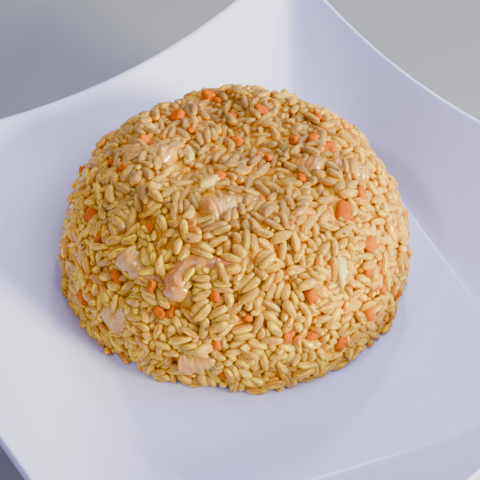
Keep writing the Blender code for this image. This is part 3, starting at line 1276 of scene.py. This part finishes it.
@dataclass
class RiceHeap:
    """The rice: an oily core, grains pressed together over it, and more that fill the gaps on the outside."""

    form: HeapForm
    bed: Bed
    packing: Packing
    chance: random.Random
    crowd: int = 3450
    tries: int = 2600
    turns: int = 6
    thick: float = 5.4 * MM
    deepest: float = 2.4 * MM
    depth_step: float = 0.3 * MM
    outer_depth: float = 3.0 * MM
    core_inset: float = 2.3 * MM
    plump: float = 1.12
    specks: int = 70
    length: tuple = (6.6 * MM, 0.9 * MM)
    width: tuple = (2.66 * MM, 0.24 * MM)
    closeness: float = 0.60
    outer_rings: tuple = (9, 10)
    inner_rings: tuple = (5, 8)
    blunt: float = 2.5
    swing: float = 0.06
    dents: float = 0.05
    bow: float = 1.6
    flatness: float = 0.86
    deep: float = 4 * MM
    core_relief: float = 0.7 * MM
    core_lumps: float = 2.6 * MM
    core_rings: tuple = (60, 180)
    bed_gap: float = 0.2 * MM
    cloud_size: float = 16 * MM
    cloudy: float = 0.35
    # Painted shade on the flat top, along with soy browning.
    top_soy_and_shade: float = 0.6
    most_soy_and_shade: float = 0.85
    speck_sizes: tuple = (0.55, 0.95)
    outer: list[Grain] = field(default_factory=list)
    inner: list[Grain] = field(default_factory=list)

    def pack(self) -> None:
        """Press the grains together, then fill what gaps are left at the surface."""
        crowd = Crowd(self.form, self.bed, self.packing, self.thick, self.crowd, self.length, self.width)
        crowd.settle()
        deep, out = crowd.depths(crowd.points[:crowd.count])
        for index in range(crowd.count):
            centre, along = Vector(crowd.points[index]), Vector(crowd.axes[index])
            straight = Vector(out[index])
            surface = centre + straight * (deep[index] + crowd.bumps[index])
            side = straight.cross(along).normalized()
            turned = Matrix((along, side, along.cross(side))).transposed().to_4x4()
            bit = Bit(centre, along, crowd.halves[index], crowd.radii[index])
            self.packing.add(bit)
            self.keep(Matrix.Translation(centre) @ turned, surface, straight,
                      crowd.long[index], crowd.wide[index])
        LOG.info("%d outer grains, %d inner grains pressed", len(self.outer), len(self.inner))
        spread = self.form.rises_by_area(4000)
        for _ in range(self.tries):
            bearing = self.chance.uniform(0, 2 * math.pi)
            self.lay(bearing, spread[self.chance.randrange(len(spread))])
        LOG.info("%d outer grains, %d inner grains", len(self.outer), len(self.inner))

    def keep(self, place: Matrix, surface: Vector, out: Vector, length: float, width: float) -> None:
        """Add a grain to the outer or the inner ones.

        Args:
            place: Its place, its length along X.
            surface: The heap's surface above it.
            out: The direction straight out.
            length: Its length.
            width: Its width.
        """
        roll = Matrix.Rotation(self.chance.uniform(-1.2, 1.2), 4, "X")
        tone = held(self.chance.gauss(0.36, 0.22))
        bend, taper = self.chance.gauss(0.04, 0.09), self.chance.gauss(0.0, 0.12)
        grain = Grain(place @ roll, surface, out, length, width, bend, taper, tone)
        deep = (surface - place.translation).dot(out)
        (self.outer if deep <= self.outer_depth else self.inner).append(grain)

    def lay(self, bearing: float, rise: float) -> None:
        """Lay one grain near a place, turned the way that lets it lie nearest the surface.

        Args:
            bearing: Its bearing.
            rise: Its rise.
        """
        chance = self.chance
        length = held(chance.gauss(*self.length), *GRAIN_LENGTHS)
        width = held(chance.gauss(*self.width), *GRAIN_WIDTHS)
        half = (length - width) / 2
        base = self.form.lumpy(bearing, rise)
        out = base.col[2].to_3d()
        ways = []
        for _ in range(self.turns):
            lean = held(chance.gauss(0, 0.28), -0.9, 0.9)
            way = Matrix.Rotation(chance.uniform(0, 2 * math.pi), 4, "Z") @ Matrix.Rotation(lean, 4, "Y")
            sunk = abs(math.sin(lean)) * half + width * 0.42 + chance.uniform(0, 0.3) * MM
            ways.append((base @ Matrix.Translation((0, 0, -sunk)) @ way, sunk))
        depths = np.arange(0, self.deepest, self.depth_step)
        middles = np.array([place.translation for place, _ in ways])
        axes = np.array([place.col[0].to_3d() for place, _ in ways])
        centres = (middles[None, :, :] - depths[:, None, None] * np.array(out)).reshape(-1, 3)
        alongs = np.tile(axes, (len(depths), 1))
        gaps = self.packing.clearance(centres, alongs, half, width / 2).reshape(len(depths), len(ways))
        for level, depth in enumerate(depths):
            fitting = [index for index in range(len(ways)) if gaps[level, index] >= self.closeness]
            for index in sorted(fitting, key=lambda found: gaps[level, found]):
                place = Matrix.Translation(-out * depth) @ ways[index][0]
                bit = Bit(place.translation.copy(), place.col[0].to_3d(), half, width / 2)
                if not self.bed.holds(bit):
                    continue
                self.packing.add(bit)
                self.keep(place, base.translation.copy(), out, length, width)
                return

    def shape(self, grain: Grain, rows: int, sides: int) -> tuple[np.ndarray, ...]:
        """Points of one grain: a pole, rings and a pole.

        Args:
            grain: The grain.
            rows: How many rings it has.
            sides: How many points each ring has.

        Returns:
            Its points in the frame's axes, how deep each lies, how far each faces sideways and where each
            is along the grain.
        """
        turns = np.pi * (np.arange(rows) + 1) / (rows + 1)
        along = np.concatenate(([-1], np.repeat(-np.cos(turns), sides), [1]))
        blunt = (1 - np.abs(np.cos(turns)) ** self.blunt) ** 0.5 * self.plump
        thick = np.concatenate(([0], np.repeat(blunt, sides), [0]))
        around = np.concatenate(([0], np.tile(2 * np.pi * np.arange(sides) / sides, rows), [0]))
        wobble = (self.swing * np.sin(2.3 * along + 40 * grain.tone)
                  + self.dents * np.cos(2 * around + 3 * along + 90 * grain.tone))
        swell = (1 + grain.taper * along + wobble) * grain.width / 2
        x = along * grain.length / 2
        y = thick * np.cos(around) * swell + grain.bend * along ** 2 * grain.width * self.bow
        z = -thick * np.sin(around) * swell * self.flatness
        own = np.stack((x * 0.22, y, z), axis=1) + grain.tone * np.array([71, 37, 53]) * MM
        placed = np.array(grain.place)
        points = np.stack((x, y, z, np.ones_like(x)), axis=1) @ placed.T
        facing = np.stack((along ** 3, thick * np.cos(around), -thick * np.sin(around)), axis=1)
        facing = facing @ placed[:3, :3].T
        facing /= np.linalg.norm(facing, axis=1)[:, None]
        out = np.array(grain.out)
        below = (np.array(grain.surface) - points[:, :3]) @ out
        return points[:, :3], np.clip(below / self.deep, 0, 1), np.clip(1 - facing @ out, 0, 1), own

    def mesh(self, name: str, grains: Sequence[Grain], rings: tuple,
             finish: bpy.types.Material) -> bpy.types.Object:
        """Join grains into one piece.

        Args:
            name: The piece's name.
            grains: The grains.
            rings: How many rings each grain has, and how many points each ring has.
            finish: Their material.

        Returns:
            The piece.
        """
        count = rings[0] * rings[1] + 2
        shapes = [self.shape(grain, *rings) for grain in grains]
        points, depths, slants, own = (np.concatenate(found) for found in zip(*shapes))
        faces = repeat_faces(loft_faces(*rings), count, len(grains))
        tones = np.repeat([grain.tone for grain in grains], count)
        # Per grain: painted shade on the flat top, along with soy browning and random clouds.
        soy_and_top_shades = np.repeat([self.brown(grain) for grain in grains], count)
        # The depth and side marks drive the painted glow in the gaps, along with oil.
        marks = {"tone": tones, "depth": depths, "side": slants, "own": own, "brown": soy_and_top_shades}
        return mesh_object(name, points, faces, marks, finish)

    def brown(self, grain: Grain) -> float:
        """How brown a grain is: painted shade on the flat top with soy browning, random clouds all over."""
        # Painted shade on the upward-facing top, along with soy browning there.
        top = held((grain.out.z - 0.65) / 0.3)
        clouds = noise.noise(grain.surface / self.cloud_size) * self.cloudy
        return held(self.top_soy_and_shade * top + clouds, 0.0, self.most_soy_and_shade)

    def core(self) -> bpy.types.Object:
        """The rice deep in the heap, whose relief shows in the gaps."""
        rows, rays = self.core_rings
        middle = self.form.lumpy(0, math.pi / 2)
        points = [middle.translation - Vector((0, 0, self.core_inset))]
        for row in range(rows - 1, -1, -1):
            rise = math.pi / 2 * row / rows
            for index in range(rays):
                place = self.form.lumpy(2 * math.pi * index / rays, max(rise, 0.01))
                relief = self.core_relief * noise.noise(place.translation / self.core_lumps)
                point = place.translation + place.col[2].to_3d() * (relief - self.core_inset)
                point.z = max(point.z, self.bed.height(point) + self.bed_gap)
                points.append(point)
        bottom = self.form.axis.copy()
        bottom.z = self.bed.height(bottom) + self.bed_gap
        points.append(bottom)
        return mesh_object("rice_core", np.array(points), loft_faces(rows, rays), {}, Core().material())

    def pepper(self) -> bpy.types.Object:
        """Specks of cracked pepper stuck to the grains."""
        specks = []
        for grain in self.chance.sample(self.outer, self.specks):
            across = Vector([self.chance.gauss(0, 0.35) * grain.width for _ in range(3)])
            spot = grain.place.translation + grain.out * grain.width * 0.46 + across.cross(grain.out)
            turned = Matrix.Rotation(self.chance.uniform(0, 6), 4, "X")
            turned = turned @ Matrix.Rotation(self.chance.uniform(0, 6), 4, "Y")
            size = self.chance.uniform(*self.speck_sizes) * MM
            shape = (size, size * 0.8, size * 0.6)
            specks.append(Morsel(Matrix.Translation(spot) @ turned, shape, square=3.0, uneven=0.4, tone=0.5))
        return join_morsels("pepper_specks", specks, Pepper().material())

    def build(self) -> None:
        """Make the core and the grains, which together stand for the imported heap."""
        self.pack()
        finish = Grains().material()
        middle = len(self.outer) // 2
        pieces = [
            self.core(),
            self.mesh("rice_grains_outer_a", self.outer[:middle], self.outer_rings, finish),
            self.mesh("rice_grains_outer_b", self.outer[middle:], self.outer_rings, finish),
            self.mesh("rice_grains_inner", self.inner, self.inner_rings, finish),
        ]
        for piece in pieces:
            settle(piece, Slot.RICE, "fried_rice")
        settle(self.pepper(), Slot.RICE)


@dataclass
class Toppings:
    """Prawns, carrot and egg in their places on the heap."""

    form: HeapForm
    bed: Bed
    packing: Packing

    def prawns(self) -> None:
        """Lay the prawns, the largest pieces."""
        pink = Prawn(pinkness=1.0, name="prawn_pink").material()
        pale = Prawn(pinkness=0.2, name="prawn_pale").material()
        rosy = Prawn(pinkness=0.55, name="prawn_rosy").material()
        places = (
            PrawnPlace("prawn_curled", -146, 39.5, 58, 27.0 * MM, 9.2 * MM, -100, 0.30, pink, (0.12, 0.62)),
            PrawnPlace("prawn_top_left", 142, 62, -90, 18.5 * MM, 11.8 * MM, 80, 0.28, pale),
            PrawnPlace("prawn_top_front", -130, 64, 10, 23.0 * MM, 12.5 * MM, -55, 0.32, pale),
            PrawnPlace("prawn_top_right", -54, 67, 80, 12.5 * MM, 9.4 * MM, 30, 0.34, rosy),
            PrawnPlace("prawn_shoulder", -48, 51, 95, 14.0 * MM, 10.0 * MM, -40, 0.32, pale),
            PrawnPlace("prawn_left_flank", -165, 32, -10, 19.0 * MM, 10.8 * MM, 40, 0.32, pale),
            PrawnPlace("prawn_left_foot", -165, 16, 25, 24.0 * MM, 13.0 * MM, -70, 0.32, pale),
            PrawnPlace("prawn_left_shoulder", 169, 44.5, 152, 21.0 * MM, 9.5 * MM, -20, 0.34, pale),
            PrawnPlace("prawn_front_foot", -141, 8, 15, 13.0 * MM, 9.2 * MM, 30, 0.20, pale),
        )
        for spot in places:
            body = PrawnBody(spot, self.form, bared=0.80 if spot.finish is pink else 0.66)
            body.build()
            for bit in body.bits():
                self.packing.add(bit)

    def carrot(self) -> None:
        """Lay the carrot dice: the larger ones in their places, then small ones anywhere."""
        dice = Scatter("carrot_dice", Carrot().material(), self.form, self.bed, self.packing,
                       random.Random(5), square=3.4, uneven=0.34)
        larger = (  # bearing in degrees, distance from the axis and size in mm
            (-75, 43, 5.6), (-61, 44, 4.2), (-27, 27, 4.6), (-35, 31, 5.0), (28, 23, 4.4), (66, 36, 4.8),
            (95, 29, 4.8), (-114, 60, 4.2), (-105, 55, 3.8), (-154, 55, 4.0), (-130, 46, 4.0), (-96, 62, 4.4),
            (-74, 53, 4.8), (-85, 61, 4.0), (171, 47, 4.8), (160, 52, 4.8),
        )
        for bearing, away, size in larger:
            shape = (size * 1.15 * MM, size * MM, size * 0.8 * MM)
            dice.lay(bearing, self.form.rise_at(away * MM), shape, size * 0.28 * MM, 0.35)
        dice.sow(54, 1.9 * MM, 4.3 * MM, (0.2, 0.55), 1.6)
        dice.build(Slot.RICE)

    def egg(self) -> None:
        """Lay the egg crumbs."""
        crumbs = Scatter("egg_crumbs", Egg().material(), self.form, self.bed, self.packing,
                         random.Random(8), square=2.4, uneven=0.5)
        larger = (  # bearing, distance from the axis, turn, length and width in mm, whiteness
            (-91, 53, 75, 9, 4.6, 1.0), (139, 16, 10, 9, 3.6, 0.8), (-157, 19, 60, 8, 3.6, 0.8),
            (-140, 61, 20, 7, 4.4, 0.1), (-154, 50, 60, 6, 4.0, 0.0),
        )
        for bearing, away, turn, long, wide, white in larger:
            shape = (long * MM, wide * MM, wide * 0.8 * MM)
            crumbs.lay(bearing, self.form.rise_at(away * MM), shape, wide * 0.3 * MM, 0.1, turn, white)
        crumbs.sow(18, 2.6 * MM, 5.0 * MM, (0.2, 0.45), 1.7)
        crumbs.build(Slot.RICE)

    def build(self) -> None:
        """Lay all of them."""
        self.prawns()
        self.carrot()
        self.egg()


# ---------------------------------------------------------------- studio


@dataclass(frozen=True)
class Lamp:
    """A soft round lamp aimed at the object.

    Its azimuth is in degrees from the camera, anticlockwise seen from above, its elevation in degrees, its
    distance and size in metres and its power in watts.
    """

    name: str
    azimuth: float
    elevation: float
    distance: float
    size: float
    power: float
    colour: tuple


LAMPS = (
    Lamp("window", 64, 17, 1.5, 0.5, 80.0, (1.0, 0.94, 0.50)),
    Lamp("front_fill", 25, 35, 1.5, 0.9, 2.5, (1.0, 0.87, 0.85)),
    Lamp("back_fill", 92, 64, 0.42, 0.36, 2.0, (0.86, 0.90, 1.0)),
    Lamp("glint_0", 172, 45, 1.2, 0.10, 4.0, (1.0, 0.95, 0.9)),
    Lamp("glint_1", -50, 48, 1.2, 0.10, 4.0, (1.0, 0.95, 0.9)),
)


@dataclass(frozen=True)
class Studio:
    """Floor, light and camera."""

    azimuth: float = math.radians(-40.3)
    elevation: float = math.radians(42.64)
    roll: float = math.radians(0.755)
    distance: float = 352.9 * MM
    aim: tuple = (15.6 * MM, 27.6 * MM, 8 * MM)
    lens: float = 70.08
    floor_half: float = 2.0
    sky: tuple = (0.64, 0.53, 1.0, 1.0)
    sky_strength: float = 0.50

    def towards(self, azimuth: float, elevation: float) -> Vector:
        """Direction from the object to a viewer at an azimuth and elevation."""
        level = math.cos(elevation)
        return Vector((math.sin(azimuth) * level, -math.cos(azimuth) * level, math.sin(elevation)))

    def camera(self) -> None:
        """Set the camera."""
        data = bpy.data.cameras.new("camera")
        data.lens = self.lens
        data.clip_start = 0.01
        camera = stand("camera", data)
        out = self.towards(self.azimuth, self.elevation)
        turned = out.to_track_quat("Z", "Y").to_matrix().to_4x4()
        place = Matrix.Translation(Vector(self.aim) + out * self.distance)
        camera.matrix_world = place @ turned @ Matrix.Rotation(self.roll, 4, "Z")
        bpy.context.scene.camera = camera

    def hang(self, lamp: Lamp) -> None:
        """Add a lamp."""
        data = bpy.data.lights.new(lamp.name, "AREA")
        data.shape = "DISK"
        data.size = lamp.size
        data.energy = lamp.power
        data.color = lamp.colour
        body = stand(lamp.name, data)
        out = self.towards(self.azimuth + math.radians(lamp.azimuth), math.radians(lamp.elevation))
        body.location = Vector(self.aim) + out * lamp.distance
        body.rotation_euler = out.to_track_quat("Z", "Y").to_euler()

    def lights(self) -> None:
        """Set the light: a broad sky, a low window at the right, two fills and two lamps for glints."""
        world = bpy.data.worlds.new("sky")
        world.use_nodes = True
        sky = world.node_tree.nodes["Background"]
        sky.inputs["Color"].default_value = self.sky
        sky.inputs["Strength"].default_value = self.sky_strength
        bpy.context.scene.world = world
        for lamp in LAMPS:
            self.hang(lamp)

    def ground(self) -> None:
        """Lay the floor."""
        half = self.floor_half
        corners = [(-half, -half, 0), (half, -half, 0), (half, half, 0), (-half, half, 0)]
        floor = mesh_object("studio_floor", np.array(corners), [(0, 1, 2, 3)], {}, Floor().material())


def main() -> None:
    """Build every piece around the frame."""
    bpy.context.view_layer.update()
    studio = Studio()
    studio.camera()
    studio.lights()
    studio.ground()
    plate = Plate()
    bed = Bed.of(plate.build())
    form = HeapForm.around("fried_rice", plate.floor)
    packing = Packing()
    Toppings(form, bed, packing).build()
    RiceHeap(form, bed, packing, random.Random(11)).build()


if __name__ == "__main__":
    logging.basicConfig(level=logging.INFO, format="%(message)s")
    main()
